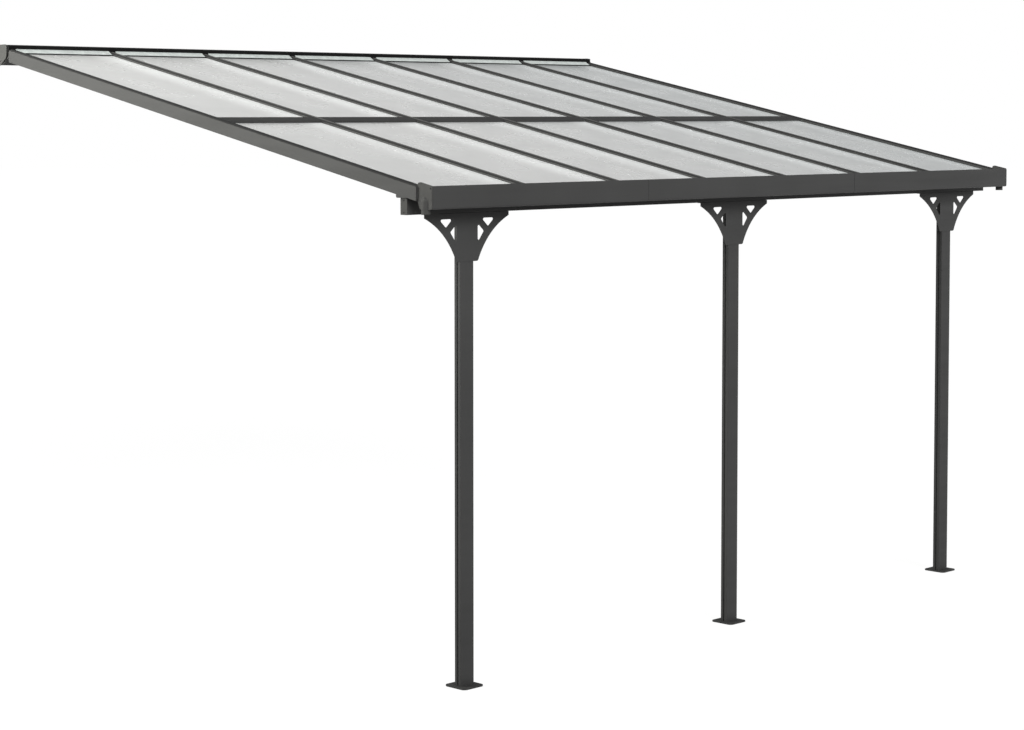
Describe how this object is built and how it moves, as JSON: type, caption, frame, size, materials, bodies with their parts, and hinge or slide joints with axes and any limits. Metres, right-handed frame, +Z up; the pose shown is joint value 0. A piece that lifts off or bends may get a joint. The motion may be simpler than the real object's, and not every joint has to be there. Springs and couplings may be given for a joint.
{
  "type": "patio cover",
  "caption": "Lean-to patio cover: sloping rafters with frosted roof panels between a wall profile and a front gutter, on a carrying beam and posts with pierced gussets.",
  "frame": {"origin": "centre of the wall profile's flat back face, where it meets the house wall", "axes": "+X along the wall to the right as seen from the garden, +Y into the wall, +Z up; the ground is at Z = -2.721 m"},
  "size_m": [4.2506, 3.118, 2.773],
  "materials": {
    "grey_powder_coat": "satin grey powder coat",
    "grey_cap_plastic": "matt grey moulded plastic",
    "frosted_polycarbonate": "frosted twin-wall sheet",
    "clear_seal": "pale flexible strip"
  },
  "bodies": {
    "root": {"wall_profile": "grey_powder_coat", "gutter": "grey_powder_coat", "carrying_beam": "grey_powder_coat", "rafter_1": "grey_powder_coat", "rafter_2": "grey_powder_coat", "rafter_3": "grey_powder_coat", "rafter_4": "grey_powder_coat", "rafter_5": "grey_powder_coat", "rafter_6": "grey_powder_coat", "rafter_7": "grey_powder_coat", "rafter_8": "grey_powder_coat", "panel_joint_1": "grey_powder_coat", "panel_joint_2": "grey_powder_coat", "panel_joint_3": "grey_powder_coat", "panel_joint_4": "grey_powder_coat", "panel_joint_5": "grey_powder_coat", "panel_joint_6": "grey_powder_coat", "panel_joint_7": "grey_powder_coat", "post_1": "grey_powder_coat", "post_2": "grey_powder_coat", "post_3": "grey_powder_coat", "base_plate_1": "grey_powder_coat", "base_plate_2": "grey_powder_coat", "base_plate_3": "grey_powder_coat", "gusset_1": "grey_powder_coat", "gusset_2": "grey_powder_coat", "gusset_3": "grey_powder_coat", "wall_cap_left": "grey_cap_plastic", "wall_cap_right": "grey_cap_plastic", "gutter_cap_left": "grey_cap_plastic", "gutter_cap_right": "grey_cap_plastic", "beam_cap_left": "grey_cap_plastic", "beam_cap_right": "grey_cap_plastic", "roof_panel_upper_1": "frosted_polycarbonate", "roof_panel_upper_2": "frosted_polycarbonate", "roof_panel_upper_3": "frosted_polycarbonate", "roof_panel_upper_4": "frosted_polycarbonate", "roof_panel_upper_5": "frosted_polycarbonate", "roof_panel_upper_6": "frosted_polycarbonate", "roof_panel_upper_7": "frosted_polycarbonate", "roof_panel_lower_1": "frosted_polycarbonate", "roof_panel_lower_2": "frosted_polycarbonate", "roof_panel_lower_3": "frosted_polycarbonate", "roof_panel_lower_4": "frosted_polycarbonate", "roof_panel_lower_5": "frosted_polycarbonate", "roof_panel_lower_6": "frosted_polycarbonate", "roof_panel_lower_7": "frosted_polycarbonate", "wall_seal": "clear_seal"}
  },
  "joints": []
}
